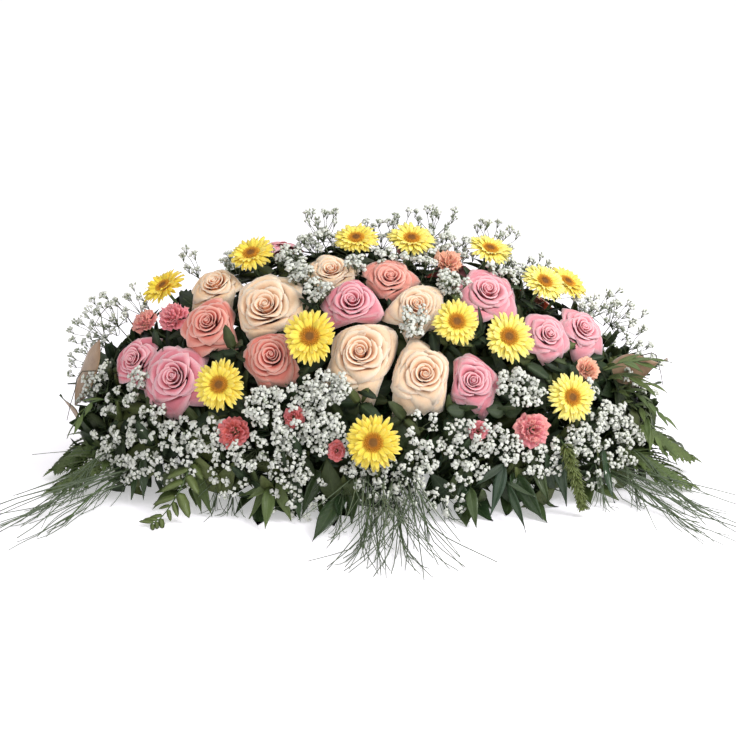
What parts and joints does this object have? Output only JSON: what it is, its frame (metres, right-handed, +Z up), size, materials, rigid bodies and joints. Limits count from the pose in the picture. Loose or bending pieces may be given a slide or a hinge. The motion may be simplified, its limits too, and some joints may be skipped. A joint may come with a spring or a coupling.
{
  "type": "casket spray",
  "caption": "Long low mound of roses, gerberas, spray carnations and baby's breath over greenery, set in wet foam in a flat plastic saddle.",
  "frame": {"origin": "middle of the saddle's flat underside, which lies on the lid", "axes": "+Z up, +X along the spray to the viewer's right, -Y towards the viewer"},
  "size_m": [0.9027, 0.723, 0.3417],
  "materials": {
    "saddle_plastic": "moulded dark green",
    "floral_foam": "wet open-celled foam",
    "cream_petal": "soft satin petal",
    "pink_petal": "soft satin petal",
    "coral_petal": "soft satin petal",
    "yellow_petal": "soft satin petal",
    "carnation_petal": "matt ruffled petal",
    "leaf_felt": "tan felted leaf underside",
    "needle_green": "matt needle",
    "fern_green": "leathery frond",
    "leaf_green": "glossy leaf",
    "white_floret": "matt floret"
  },
  "bodies": {
    "root": {"saddle": "saddle_plastic", "foam": "floral_foam", "rose_cream_1": "cream_petal", "rose_cream_2": "cream_petal", "rose_cream_3": "cream_petal", "rose_cream_4": "cream_petal", "rose_cream_5": "cream_petal", "rose_cream_6": "cream_petal", "rose_cream_7": "cream_petal", "rose_pink_1": "pink_petal", "rose_pink_2": "pink_petal", "rose_pink_3": "pink_petal", "rose_pink_4": "pink_petal", "rose_pink_5": "pink_petal", "rose_pink_6": "pink_petal", "rose_pink_7": "pink_petal", "rose_pink_8": "pink_petal", "rose_pink_9": "pink_petal", "rose_pink_10": "pink_petal", "rose_coral_1": "coral_petal", "rose_coral_2": "coral_petal", "rose_coral_3": "coral_petal", "rose_coral_4": "coral_petal", "gerbera_1": "yellow_petal", "gerbera_2": "yellow_petal", "gerbera_3": "yellow_petal", "gerbera_4": "yellow_petal", "gerbera_5": "yellow_petal", "gerbera_6": "yellow_petal", "gerbera_7": "yellow_petal", "gerbera_8": "yellow_petal", "gerbera_9": "yellow_petal", "gerbera_10": "yellow_petal", "gerbera_11": "yellow_petal", "gerbera_12": "yellow_petal", "gerbera_13": "yellow_petal", "gerbera_14": "yellow_petal", "gerbera_15": "yellow_petal", "gerbera_16": "yellow_petal", "carnations_left": "carnation_petal", "carnations_front": "carnation_petal", "carnations_right": "carnation_petal", "carnations_back": "carnation_petal", "magnolia_left": "leaf_felt", "magnolia_right": "leaf_felt", "needle_spray_left": "needle_green", "needle_spray_right": "needle_green", "needle_spray_front": "needle_green", "fern_left": "fern_green", "fern_right": "fern_green", "fern_back": "fern_green", "leafy_stems_front_left": "leaf_green", "leafy_stems_front_right": "leaf_green", "leafy_stems_back": "leaf_green", "babys_breath_front_left": "white_floret", "babys_breath_front_right": "white_floret", "babys_breath_left": "white_floret", "babys_breath_right": "white_floret", "babys_breath_top": "white_floret", "babys_breath_back": "white_floret"}
  },
  "joints": []
}
